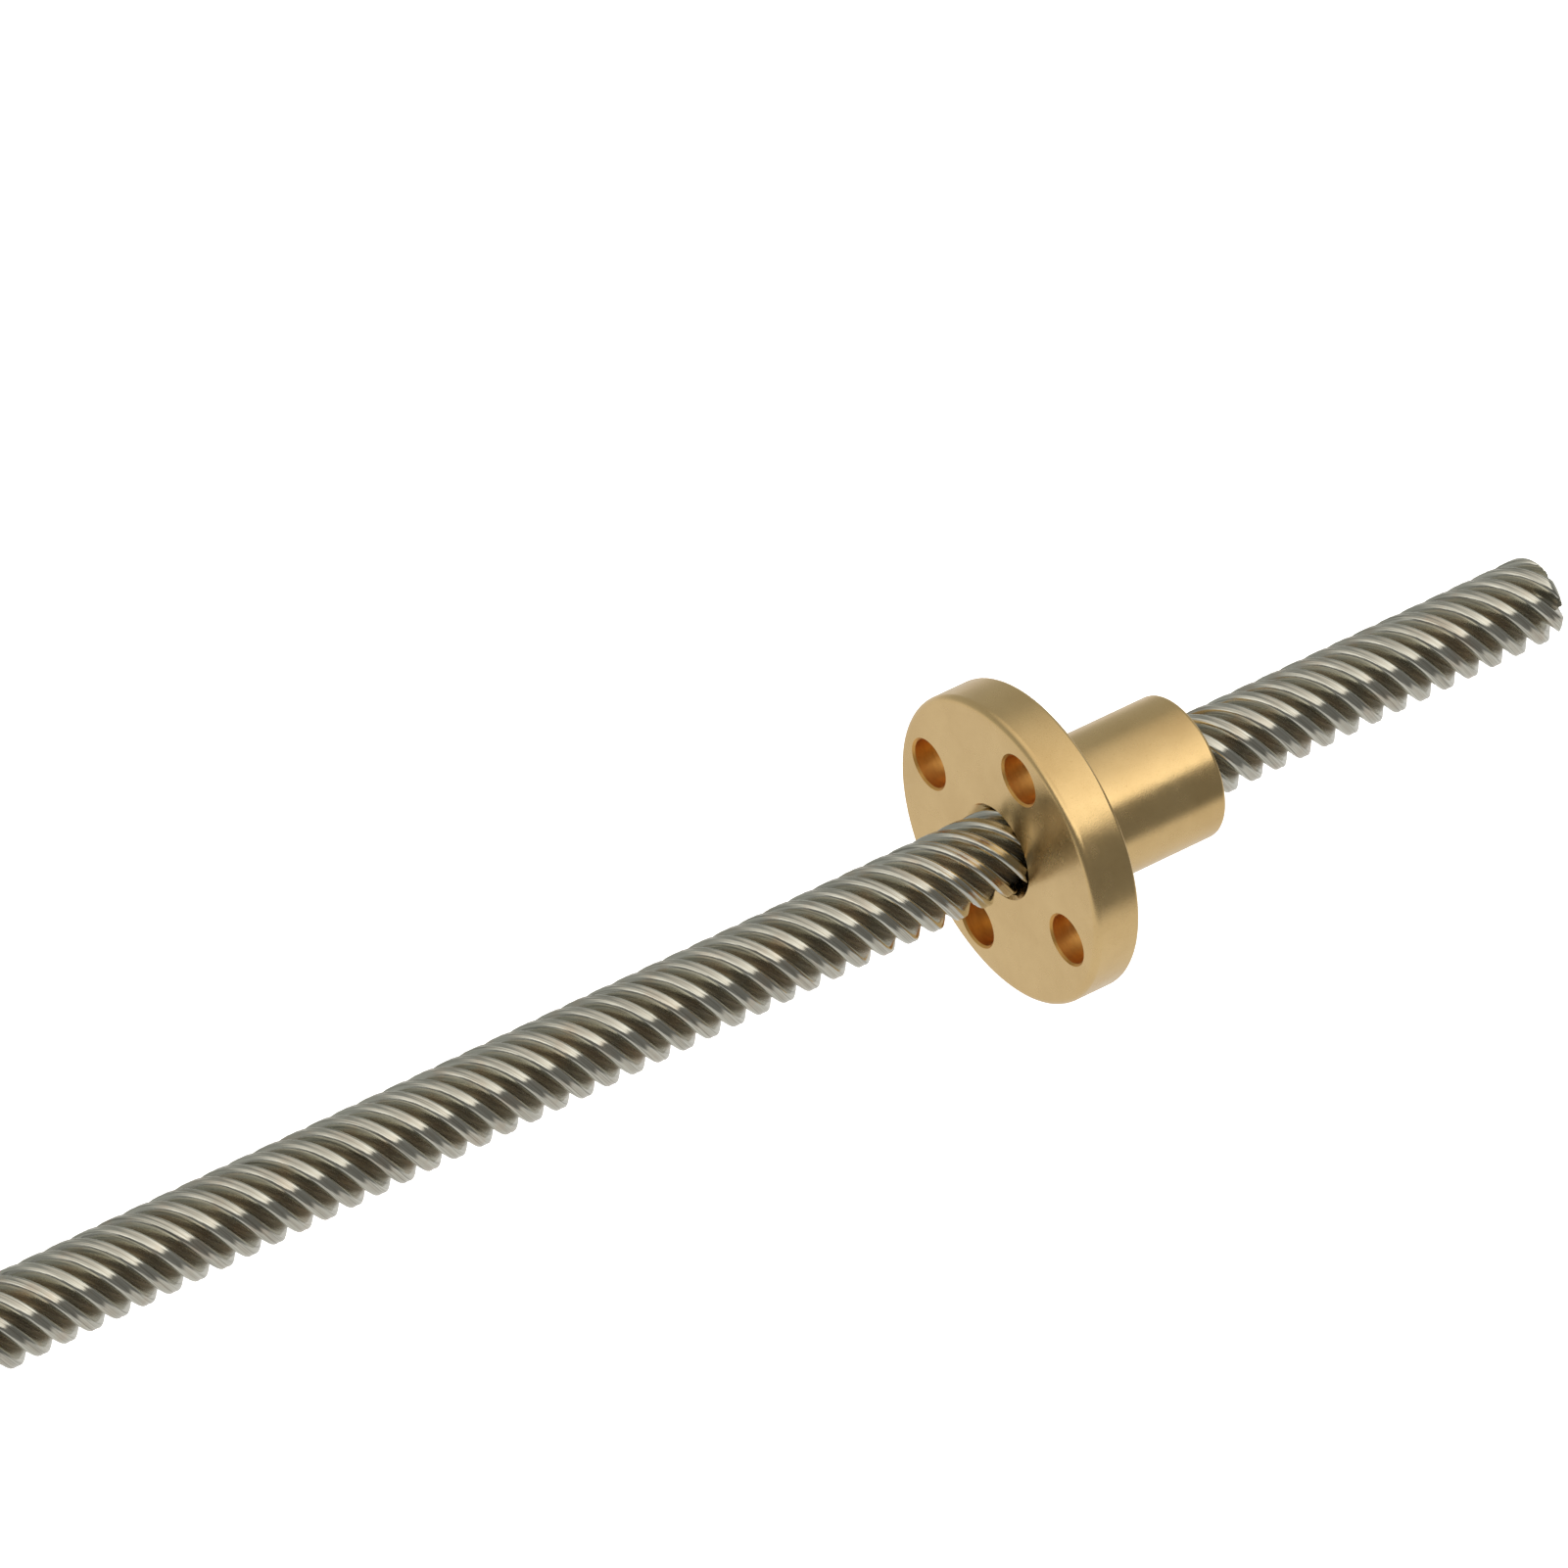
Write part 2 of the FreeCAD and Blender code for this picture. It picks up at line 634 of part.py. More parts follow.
def ball_bearing(name, back):
    """A shielded ball bearing whose back face is at x = back, as five nodes."""
    middle = f"({back} + sizes.bearing_width / 2)"
    race = doc.addObject("Part::Torus", name + "_race")
    race.Placement = Placement(Vector(), TURN_Z_TO_X)
    race.setExpression("Radius1", "sizes.ball_circle_radius")
    race.setExpression("Radius2", "sizes.race_radius")
    race.setExpression("Placement.Base.x", middle)
    outer = ring(name + "_outer_blank", "sizes.bearing_outer_radius", "sizes.outer_ring_radius",
                 back, "sizes.bearing_width")
    inner = ring(name + "_inner_blank", "sizes.inner_ring_radius", "sizes.shaft_radius",
                 back, "sizes.bearing_width")
    node(cut(name + "_outer_ring", outer, race), name + "_outer_ring")
    node(cut(name + "_inner_ring", inner, race), name + "_inner_ring")
    node(group(name + "_balls", ball_circle(name + "_ball", middle, "sizes.ball_radius")), name + "_balls")
    pockets = ball_circle(name + "_pocket", middle, "sizes.cage_pocket_radius")
    cage = ring(name + "_cage_blank", "sizes.ball_circle_radius + sizes.cage_thickness / 2",
                "sizes.ball_circle_radius - sizes.cage_thickness / 2",
                f"{middle} - sizes.cage_width / 2", "sizes.cage_width")
    node(cut(name + "_cage", cage, fuse(name + "_pockets", pockets)), name + "_cage")
    front = f"{back} + sizes.bearing_width - sizes.shield_thickness"
    shields = [
        ring(f"{name}_shield_{side}", "sizes.outer_ring_radius", "sizes.inner_ring_radius + sizes.shield_gap",
             start, "sizes.shield_thickness")
        for side, start in (("back", back), ("front", front))
    ]
    node(group(name + "_shields", shields), name + "_shields")


def retaining_ring():
    """An open ring in the shaft's groove, behind the rear bearing."""
    full = ring("clip_full", "sizes.clip_outer_radius", "sizes.clip_groove_radius",
                "-sizes.clip_back", "sizes.clip_thickness")
    mouth = box("clip_mouth", "-sizes.clip_back - sizes.overrun", "-sizes.clip_gap_width / 2", "0",
                "sizes.clip_thickness + 2 * sizes.overrun", "sizes.clip_gap_width",
                "sizes.clip_outer_radius + sizes.overrun")
    node(cut("retaining_ring", full, mouth), "retaining_ring")


def wave_washer():
    """A thin spring washer with three waves, which preloads the rear bearing."""
    def wavy(radius):
        steps = 48
        points = []
        for n in range(steps):
            angle = 2 * math.pi * n / steps
            lift = size("washer_wave") * math.sin(size("washer_waves") * angle)
            points.append(Vector(lift, radius * math.cos(angle), radius * math.sin(angle)))
        curve = Part.BSplineCurve()
        curve.interpolate(points, PeriodicFlag=True)
        return curve.toShape()

    surface = Part.makeRuledSurface(wavy(size("washer_inner_radius")), wavy(size("washer_outer_radius")))
    washer = doc.addObject("Part::Feature", "wave_washer")
    washer.Shape = surface.extrude(Vector(size("washer_thickness"), 0, 0))
    washer.Placement = Placement(Vector(-size("washer_back"), 0, 0), Rotation())
    node(washer, "wave_washer")


# ---- rotor


def rotor_cup(name, start, clocking):
    """A toothed half of the rotor, pressed on the shaft."""
    body = new_body(name)
    disc = sketch_at(body, "disc", start)
    add_circle(disc, "sizes.rotor_radius")
    add_circle(disc, "sizes.shaft_radius")
    pad(body, disc, "sizes.cup_length")
    gap = sketch_at(body, "gap", start)
    radius = size("rotor_radius")
    add_outline(gap, tooth_gap(radius - size("tooth_depth"), radius + size("tooth_gap_overrun"), clocking))
    around(body, pocket(body, gap, "sizes.cup_length", True), "sizes.rotor_teeth")


def rotor():
    """Two cups half a tooth apart, with a disc magnet between them, and a spacer at each end."""
    tooth_pitch = 360 / size("rotor_teeth")
    front = "-sizes.rotor_start - sizes.cup_length"
    magnet = f"{front} - sizes.magnet_length"
    rear = f"{magnet} - sizes.cup_length"
    rotor_cup("front_rotor_cup", front, 0.0)
    rotor_cup("rear_rotor_cup", rear, tooth_pitch / 2)
    node(ring("rotor_magnet", "sizes.magnet_radius", "sizes.shaft_radius", magnet, "sizes.magnet_length"),
         "rotor_magnet")
    node(ring("front_spacer", "sizes.spacer_radius", "sizes.shaft_radius", "-sizes.rotor_start",
              "sizes.rotor_start - sizes.front_bearing_x"), "front_spacer")
    rear_spacer_start = "-sizes.rear_bearing_x + sizes.bearing_width"
    node(ring("rear_spacer", "sizes.spacer_radius", "sizes.shaft_radius", rear_spacer_start,
              f"{rear} - ({rear_spacer_start})"), "rear_spacer")
    collar_start = "-sizes.front_bearing_x + sizes.bearing_width"
    node(ring("thrust_collar", "sizes.collar_radius", "sizes.shaft_radius", collar_start,
              f"sizes.thread_start - ({collar_start})"), "thrust_collar")


# ---- terminal board and header


def terminal_board():
    node(ring("terminal_board", "sizes.board_outer_radius", "sizes.board_inner_radius",
              "-sizes.board_back", "sizes.board_thickness"), "terminal_board")


def header_housing():
    """An open-topped plug socket that looks out of the rear bell towards -Y, with two key slots."""
    wall = "sizes.header_wall"
    shell = box("header_shell", "-sizes.header_back", "-sizes.header_top", "-sizes.header_length / 2",
                "sizes.header_width", "sizes.header_depth", "sizes.header_length")
    above = "-sizes.header_top - sizes.overrun"
    well = box("header_well", f"-sizes.header_back + {wall}", above,
               f"-sizes.header_length / 2 + {wall}", f"sizes.header_width - 2 * {wall}",
               "sizes.header_depth - sizes.header_floor + sizes.overrun", f"sizes.header_length - 2 * {wall}")
    key_start = f"-sizes.header_back + sizes.header_width - {wall} - sizes.overrun / 2"
    keys = [
        box(f"header_key_{side}", key_start, above,
            f"{side} * sizes.header_length / 4 - sizes.header_key_width / 2", f"{wall} + sizes.overrun",
            "sizes.header_depth / 2 + sizes.overrun", "sizes.header_key_width")
        for side in (-1, 1)
    ]
    pin_holes = [pin_leg(f"header_hole_{n}", n) for n in range(int(size("pin_count")))]
    openings = fuse("header_openings", [well] + keys + pin_holes)
    node(cut("header_housing", shell, openings), "header_housing")


def pin_place(number):
    """The lowest z of a pin, as an expression."""
    return f"({number} - (sizes.pin_count - 1) / 2) * sizes.pin_pitch - sizes.pin_size / 2"


def pin_leg(name, number):
    """The straight stretch of a pin, through the header's floor."""
    return box(name, "-sizes.header_back + sizes.header_width / 2 - sizes.pin_size / 2",
               "-sizes.header_top + sizes.pin_recess", pin_place(number),
               "sizes.pin_size", "sizes.pin_length", "sizes.pin_size")


def header_pins():
    """Six bent pins, from the socket to the front of the terminal board."""
    pins = []
    board_front = "-sizes.board_back + sizes.board_thickness"
    leg_front = "-sizes.header_back + sizes.header_width / 2 + sizes.pin_size / 2"
    for n in range(int(size("pin_count"))):
        leg = pin_leg(f"pin_leg_{n}", n)
        foot = box(f"pin_foot_{n}", board_front,
                   "-sizes.header_top + sizes.pin_recess + sizes.pin_length - sizes.pin_size", pin_place(n),
                   f"{leg_front} - ({board_front})", "sizes.pin_size", "sizes.pin_size")
        pins.append(fuse(f"pin_{n}", [leg, foot]))
    node(group("header_pins", pins), "header_pins")


# ---- lead screw and nut


def thread_section(x, crest_radius, root_radius, crest_half, root_half):
    """The thread's outline across X, with one lobe per start. The half widths are in degrees."""
    starts = int(size("thread_starts"))
    step = 360 / starts
    turn = 360 * x / size("thread_lead") + size("thread_clocking_degrees")

    def point(radius, degrees):
        angle = math.radians(degrees + turn)
        return Vector(x, radius * math.cos(angle), radius * math.sin(angle))

    edges = []
    for n in range(starts):
        lobe = n * step
        valley = lobe + step / 2
        crest_end = point(crest_radius, lobe + crest_half)
        root_start = point(root_radius, valley - root_half)
        root_end = point(root_radius, valley + root_half)
        crest = Part.Arc(point(crest_radius, lobe - crest_half), point(crest_radius, lobe), crest_end)
        root = Part.Arc(root_start, point(root_radius, valley), root_end)
        next_crest = point(crest_radius, lobe + step - crest_half)
        edges += [crest.toShape(), Part.makeLine(crest_end, root_start)]
        edges += [root.toShape(), Part.makeLine(root_end, next_crest)]
    return Part.Wire(edges)


def threaded_rod(name, start, length, crest_radius, root_radius, crest_half, root_half):
    """The thread's outline swept along X and turned once for each lead, right-handed."""
    section = thread_section(start, crest_radius, root_radius, crest_half, root_half)
    spine = Part.Wire(Part.makeLine(Vector(start, 0, 0), Vector(start + length, 0, 0)))
    helix = Part.makeHelix(size("thread_lead"), length, size("shaft_radius"))
    helix.rotate(Vector(), Vector(0, 1, 0), 90)
    helix.translate(Vector(start, 0, 0))
    sweep = Part.BRepOffsetAPI.MakePipeShell(spine)
    sweep.setAuxiliarySpine(Part.Wire(helix), True, 0)
    sweep.add(section)
    sweep.build()
    sweep.makeSolid()
    rod = doc.addObject("Part::Feature", name)
    rod.Shape = sweep.shape()
    return rod


def lead_screw():
    """The screw and the motor's shaft are one bar: thread in front, plain journals behind."""
    start, tip = size("thread_start"), size("screw_tip")
    rod = threaded_rod("screw_thread", start, tip - start,
                       size("screw_crest_radius"), size("screw_root_radius"),
                       size("screw_crest_half_degrees"), size("screw_root_half_degrees"))
    beyond = "sizes.screw_crest_radius + 2 * sizes.overrun"
    widest = "(sizes.screw_crest_radius + sizes.trim_margin)"
    run_in_length = "sizes.runout_chamfer + sizes.trim_margin"
    run_in = cut("run_in_trim",
                 cylinder("run_in_block", beyond, "sizes.thread_start", run_in_length),
                 cone("run_in_cone", "sizes.shaft_radius", widest, "sizes.thread_start", run_in_length))
    point_start = "sizes.screw_tip - sizes.tip_chamfer - sizes.trim_margin"
    point_length = "sizes.tip_chamfer + sizes.trim_margin"
    point_radius = "sizes.screw_crest_radius - sizes.tip_chamfer"
    point = cut("point_trim",
                cylinder("point_block", beyond, point_start, point_length),
                cone("point_cone", widest, point_radius, point_start, point_length))
    trimmed = cut("screw_trimmed", cut("screw_pointed", rod, point, False), run_in, False)
    shank = cylinder("screw_shank", "sizes.shaft_radius", "-sizes.tail_end",
                     "sizes.tail_end + sizes.thread_start + sizes.thread_runout")
    groove = ring("screw_groove", "sizes.shaft_radius + sizes.overrun", "sizes.clip_groove_radius",
                  "-sizes.clip_back", "sizes.clip_thickness")
    grooved = cut("screw_grooved_shank", shank, groove)
    node(fuse("lead_screw", [trimmed, grooved], False), "lead_screw")


def nut_blank():
    """The nut's flange and barrel, with its bolt holes, before it is tapped."""
    body = doc.addObject("PartDesign::Body", "nut_blank")
    flange = sketch_at(body, "flange", "sizes.nut_face")
    add_circle(flange, "sizes.nut_flange_radius")
    pad(body, flange, "sizes.nut_flange_thickness")
    barrel = sketch_at(body, "barrel", "sizes.nut_face + sizes.nut_flange_thickness")
    add_circle(barrel, "sizes.nut_barrel_radius")
    pad(body, barrel, "sizes.nut_length - sizes.nut_flange_thickness")
    hole = sketch_at(body, "hole", "sizes.nut_face + sizes.nut_flange_thickness")
    clocking = "(sizes.nut_clocking_degrees * 1 deg)"
    add_circle(hole, "sizes.nut_hole_radius", f"sizes.nut_hole_circle / 2 * cos{clocking}",
               f"sizes.nut_hole_circle / 2 * sin{clocking}")
    around(body, pocket(body, hole, "sizes.nut_flange_thickness"), "sizes.nut_hole_count")
    face, back = size("nut_face"), size("nut_face") + size("nut_flange_thickness")
    end = size("nut_face") + size("nut_length")
    flange_radius, barrel_radius = size("nut_flange_radius"), size("nut_barrel_radius")

    def outer_edge(edge):
        return (
            round_edge(edge, face, flange_radius)
            or round_edge(edge, back, flange_radius)
            or round_edge(edge, end, barrel_radius)
        )

    chamfer(body, outer_edge, "sizes.nut_edge_chamfer")
    return body


def flanged_nut():
    """The nut's grooves are the screw's ridges, wider by the play on each side."""
    play = math.degrees(size("thread_play") / size("screw_crest_radius"))
    root_play = math.degrees(size("thread_play") / size("screw_root_radius"))
    overrun = size("overrun")
    tap = threaded_rod("nut_tap", size("nut_face") - overrun, size("nut_length") + 2 * overrun,
                       size("nut_crest_radius"), size("nut_root_radius"),
                       size("screw_crest_half_degrees") + play, size("screw_root_half_degrees") - root_play)
    bottom_radius = "sizes.nut_mouth_radius - sizes.nut_mouth_depth"
    mouth = cone("nut_mouth", "sizes.nut_mouth_radius", bottom_radius, "sizes.nut_face",
                 "sizes.nut_mouth_depth")
    exit_mouth = cone("nut_exit", bottom_radius, "sizes.nut_mouth_radius",
                      "sizes.nut_face + sizes.nut_length - sizes.nut_mouth_depth", "sizes.nut_mouth_depth")
    tapped = cut("nut_tapped", nut_blank(), tap, False)
    node(cut("flanged_nut", tapped, fuse("nut_mouths", [mouth, exit_mouth]), False), "flanged_nut")


front_end_bell()
rear_end_bell()
stator_core()
assembly_screws()
coil_former("front_coil_former", f"({FRONT_BELL_BACK})", 1)
coil_former("rear_coil_former", f"({CORE_BACK})", -1)
coils()
ball_bearing("front_bearing", "-sizes.front_bearing_x")
ball_bearing("rear_bearing", "-sizes.rear_bearing_x")
retaining_ring()
wave_washer()
rotor()
terminal_board()
header_housing()
header_pins()
lead_screw()
flanged_nut()
doc.recompute()

failed = [o.Name for o in doc.Objects if "Invalid" in o.State or "Error" in o.State]
if failed:
    raise SystemExit(f"these objects failed: {failed}")
for part in nodes:
    if part.Shape.isNull() or not part.Shape.isValid() or not part.Shape.Solids:
        raise SystemExit(f"{part.Label} has no valid solid")

os.makedirs("parts", exist_ok=True)
for part in nodes:
    part.Shape.exportStep(f"parts/{part.Label}.step")
    print(f"{part.Label}: {len(part.Shape.Solids)} solids, {part.Shape.Volume:.2f} mm3")
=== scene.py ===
"""The looks of a stepper motor whose shaft is a lead screw, with the flanged brass nut that rides on it.

Metres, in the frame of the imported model: +X runs along the screw, away from the motor, and +Z is up. The
screw, the nut and the motor's laminated core are new meshes that stand for their CAD nodes. The other nodes
keep their own meshes. The end bells and the header get softened edges, and every piece gets a procedural
material.
"""
import json
import math

import bmesh
import bpy
import numpy as np
from mathutils import Matrix, Vector


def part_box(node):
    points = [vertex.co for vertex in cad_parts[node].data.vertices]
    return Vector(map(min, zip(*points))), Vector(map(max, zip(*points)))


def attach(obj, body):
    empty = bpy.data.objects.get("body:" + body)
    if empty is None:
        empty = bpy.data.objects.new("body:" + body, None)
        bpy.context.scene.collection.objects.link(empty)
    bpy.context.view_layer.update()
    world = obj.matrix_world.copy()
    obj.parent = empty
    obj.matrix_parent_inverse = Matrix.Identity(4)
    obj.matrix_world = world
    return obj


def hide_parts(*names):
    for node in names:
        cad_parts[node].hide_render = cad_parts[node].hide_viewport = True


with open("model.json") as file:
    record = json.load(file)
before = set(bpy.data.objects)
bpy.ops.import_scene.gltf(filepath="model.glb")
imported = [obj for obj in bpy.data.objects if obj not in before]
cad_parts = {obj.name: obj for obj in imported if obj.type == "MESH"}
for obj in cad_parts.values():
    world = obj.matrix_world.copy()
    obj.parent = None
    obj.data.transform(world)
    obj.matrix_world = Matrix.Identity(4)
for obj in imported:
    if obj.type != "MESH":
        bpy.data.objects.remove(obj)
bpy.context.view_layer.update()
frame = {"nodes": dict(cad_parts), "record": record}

MM = 0.001
TURN = 2 * math.pi

# where the pieces are, from the frame
SCREW_START, SCREW_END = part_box("lead_screw")
NUT_START, NUT_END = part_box("flanged_nut")
FLOOR_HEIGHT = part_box("front_end_bell")[0].z

# the thread: six starts, in step with the CAD screw and nut
STARTS = 6
COUPLINGS = {c["joint"]: c["ratio"] for c in frame["record"]["behaviour"]["couplings"]}
LEAD = TURN / abs(COUPLINGS["screw_spin"])
CREST_RADIUS = 3.0 * MM
ROOT_RADIUS = 1.9 * MM
RIDGE_BREADTH = 2.8
SEAM_HALF_WIDTH = math.radians(8.0)
SEAM_DEPTH = 0.022 * MM
THREAD_START = 3.0 * MM
THREAD_CLOCKING = math.radians(24.0)
RUN_IN = 2.5 * MM
RUN_IN_SLOPE_START = 1.0 * MM
RING_SPACING = 0.3 * MM
TIP_RINGS = 8
SHANK_RADIUS = 2.5 * MM
NUT_PLAY = 0.2 * MM
TIP_ROUND = 0.9 * MM
CLIP_GROOVE = (-46.65 * MM, -46.15 * MM)
CLIP_GROOVE_RADIUS = 2.15 * MM
TAIL_CHAMFER = 0.3 * MM
LOBE_STEPS = 24
COLUMNS = STARTS * LOBE_STEPS


# ---------------------------------------------------------------- camera, light and floor

AZIMUTH = math.radians(-35.5)
ELEVATION = math.radians(40.8)
CAMERA_DISTANCE = 1.0
VIEW_WIDTH = 102.8 * MM
NUT_RIGHT_OF_CENTRE = 14.0 * MM
NUT_BELOW_CENTRE = 4.45 * MM
SENSOR_WIDTH = 36.0


def add_camera():
    """A long lens, level, that sees the nut's front face a little right of and below the middle."""
    back = Vector((
        math.sin(AZIMUTH) * math.cos(ELEVATION),
        -math.cos(AZIMUTH) * math.cos(ELEVATION),
        math.sin(ELEVATION),
    ))
    right = Vector((math.cos(AZIMUTH), math.sin(AZIMUTH), 0.0))
    up = back.cross(right)
    data = bpy.data.cameras.new("camera")
    data.sensor_width = SENSOR_WIDTH
    data.lens = SENSOR_WIDTH * CAMERA_DISTANCE / VIEW_WIDTH
    data.clip_start = 0.01
    data.clip_end = 20.0
    camera = bpy.data.objects.new("camera", data)
    bpy.context.scene.collection.objects.link(camera)
    nut_face = Vector((NUT_START.x, 0.0, 0.0))
    target = nut_face - right * NUT_RIGHT_OF_CENTRE + up * NUT_BELOW_CENTRE
    camera.matrix_world = Matrix.Translation(target + back * CAMERA_DISTANCE) @ Matrix((
        (right.x, up.x, back.x, 0),
        (right.y, up.y, back.y, 0),
        (right.z, up.z, back.z, 0),
        (0, 0, 0, 1),
    ))
    bpy.context.scene.camera = camera


class Nodes:
    """A short way to write a node tree. An input is given a number, a colour or another node's socket."""

    def __init__(self, tree):
        self.tree = tree

    def put(self, socket, value):
        if isinstance(value, bpy.types.NodeSocket):
            self.tree.links.new(value, socket)
        else:
            socket.default_value = value

    def add(self, kind, inputs=None, **settings):
        node = self.tree.nodes.new(kind)
        for name, value in settings.items():
            setattr(node, name, value)
        for name, value in (inputs or {}).items():
            self.put(node.inputs[name], value)
        return node

    def math(self, operation, a, b=0.0):
        return self.add("ShaderNodeMath", {0: a, 1: b}, operation=operation).outputs[0]

    def ramp(self, factor, stops):
        """A colour ramp. Each stop is a place from 0 to 1 and a colour, or a grey level."""
        node = self.add("ShaderNodeValToRGB", {"Fac": factor})
        elements = node.color_ramp.elements
        while len(elements) < len(stops):
            elements.new(1.0)
        for element, (place, colour) in zip(elements, stops):
            element.position = place
            element.color = (*colour, 1.0) if isinstance(colour, tuple) else (colour,) * 3 + (1.0,)
        return node.outputs["Color"]

    def mix(self, factor, a, b):
        node = self.add("ShaderNodeMix", data_type="RGBA")
        self.put(node.inputs["Factor"], factor)
        self.put(node.inputs["A"], a if isinstance(a, bpy.types.NodeSocket) else (*a, 1.0))
        self.put(node.inputs["B"], b if isinstance(b, bpy.types.NodeSocket) else (*b, 1.0))
        return node.outputs["Result"]


def add_world():
    """A studio seen in the metal: bright overhead, mid grey behind the object and below, dark in front."""
    world = bpy.data.worlds.new("studio")
    world.use_nodes = True
    bpy.context.scene.world = world
    n = Nodes(world.node_tree)
    direction = n.add("ShaderNodeTexCoord").outputs["Generated"]
    split = n.add("ShaderNodeSeparateXYZ", {0: direction})
    height = n.math("MULTIPLY", n.math("ADD", split.outputs["Z"], 1.0), 0.5)
    depth = n.math("MULTIPLY", n.math("ADD", split.outputs["Y"], 1.0), 0.5)
    ground, low_wall, high_wall = (0.70, 0.69, 0.66), (0.43, 0.44, 0.41), (0.36, 0.37, 0.35)
    ceiling, lamp, shade = (0.86, 0.82, 0.75), (1.42, 1.38, 1.28), (0.20, 0.20, 0.19)
    behind = [(0.0, ground), (0.35, ground), (0.50, low_wall), (0.80, high_wall), (0.98, ceiling)]
    ahead = [
        (0.0, ground),
        (0.25, ground),
        (0.34, shade),
        (0.735, shade),
        (0.77, lamp),
        (0.83, lamp),
        (0.98, ceiling),
    ]
    colour = n.mix(n.ramp(depth, [(0.35, 0.0), (0.60, 1.0)]), n.ramp(height, ahead), n.ramp(height, behind))
    n.put(world.node_tree.nodes["Background"].inputs["Color"], colour)
    world.node_tree.nodes["Background"].inputs["Strength"].default_value = 1.0


def add_area_light(name, location, target, size, power, colour=(1.0, 1.0, 1.0)):
    data = bpy.data.lights.new(name, "AREA")
    data.shape = "DISK"
    data.size = size
    data.energy = power
    data.color = colour
    light = bpy.data.objects.new(name, data)
    light.location = location
    light.rotation_mode = "QUATERNION"
    light.rotation_quaternion = (Vector(target) - Vector(location)).to_track_quat("-Z", "Y")
    bpy.context.scene.collection.objects.link(light)
    return light


def add_floor():
    """A plain white disc that turns up into a wall far from the object. Metal doesn't mirror it."""
    flat, cove, wall = 4.0, 1.5, 3.0
    profile = [(0.0, 0.0), (flat, 0.0)]
    bends = 12
    for i in range(1, bends + 1):
        a = math.pi / 2 * i / bends
        profile.append((flat + cove * math.sin(a), cove - cove * math.cos(a)))
    profile.append((flat + cove, wall))
    around = 96
    mesh = bpy.data.meshes.new("floor")
    points = [(0.0, 0.0, FLOOR_HEIGHT)]
    for r, z in profile[1:]:
        for i in range(around):
            a = TURN * i / around
            points.append((r * math.cos(a), r * math.sin(a), FLOOR_HEIGHT + z))
    faces = [(0, 1 + i, 1 + (i + 1) % around) for i in range(around)]
    for k in range(len(profile) - 2):
        for i in range(around):
            a, b = 1 + k * around + i, 1 + k * around + (i + 1) % around
            faces.append((a, a + around, b + around, b))
    mesh.from_pydata(points, [], faces)
    mesh.shade_smooth()
    material = bpy.data.materials.new("floor_white")
    material.use_nodes = True
    surface = material.node_tree.nodes["Principled BSDF"]
    surface.inputs["Base Color"].default_value = (0.9, 0.9, 0.9, 1.0)
    surface.inputs["Roughness"].default_value = 0.9
    surface.inputs["Specular IOR Level"].default_value = 0.0
    surface.inputs["Emission Color"].default_value = (1.0, 1.0, 1.0, 1.0)
    surface.inputs["Emission Strength"].default_value = 0.55
    mesh.materials.append(material)
    floor = bpy.data.objects.new("floor", mesh)
    floor.visible_glossy = False
    floor.visible_shadow = False
    bpy.context.scene.collection.objects.link(floor)


# ---------------------------------------------------------------- materials


def new_material(name, metallic, roughness, anisotropic=0.0):
    """A Principled material and its node writer. Levels that are the same all over are set on its sockets."""
    material = bpy.data.materials.new(name)
    material.use_nodes = True
    n = Nodes(material.node_tree)
    n.surface = material.node_tree.nodes["Principled BSDF"]
    n.surface.inputs["Metallic"].default_value = metallic
    n.surface.inputs["Roughness"].default_value = roughness
    n.surface.inputs["Anisotropic"].default_value = anisotropic
    return material, n


def noise(n, scale, detail=3.0, stretch=None, vector=None):
    """Noise in object coordinates. scale is features per metre, and stretch squeezes it along X, Y or Z."""
    place = vector or n.add("ShaderNodeTexCoord").outputs["Object"]
    if stretch:
        place = n.add("ShaderNodeVectorMath", {0: place, 1: stretch}, operation="MULTIPLY").outputs[0]
    settings = {"Vector": place, "Scale": scale, "Detail": detail, "Roughness": 0.6}
    return n.add("ShaderNodeTexNoise", settings).outputs["Fac"]


def turned(n, spacing):
    """Fine rings about the X axis, as a lathe leaves them, spacing metres apart and a little uneven."""
    place = n.add("ShaderNodeTexCoord").outputs["Object"]
    split = n.add("ShaderNodeSeparateXYZ", {0: place})
    squares = [n.math("POWER", split.outputs[axis], 2.0) for axis in ("Y", "Z")]
    radius = n.math("SQRT", n.math("ADD", *squares))
    lined = n.add("ShaderNodeCombineXYZ", {0: n.math("ADD", radius, split.outputs["X"])}).outputs[0]
    return noise(n, 1 / spacing, 2.0, None, lined)


def bump(n, height, depth, normal=None):
    """A bump of about depth metres."""
    inputs = {"Height": height, "Strength": 1.0, "Distance": depth}
    if normal:
        inputs["Normal"] = normal
    return n.add("ShaderNodeBump", inputs).outputs["Normal"]


def radial_tangent(n):
    """Stretches reflections across the turning marks."""
    tangent = n.add("ShaderNodeTangent", direction_type="RADIAL", axis="X").outputs[0]
    n.put(n.surface.inputs["Tangent"], tangent)
    n.surface.inputs["Anisotropic Rotation"].default_value = 0.25


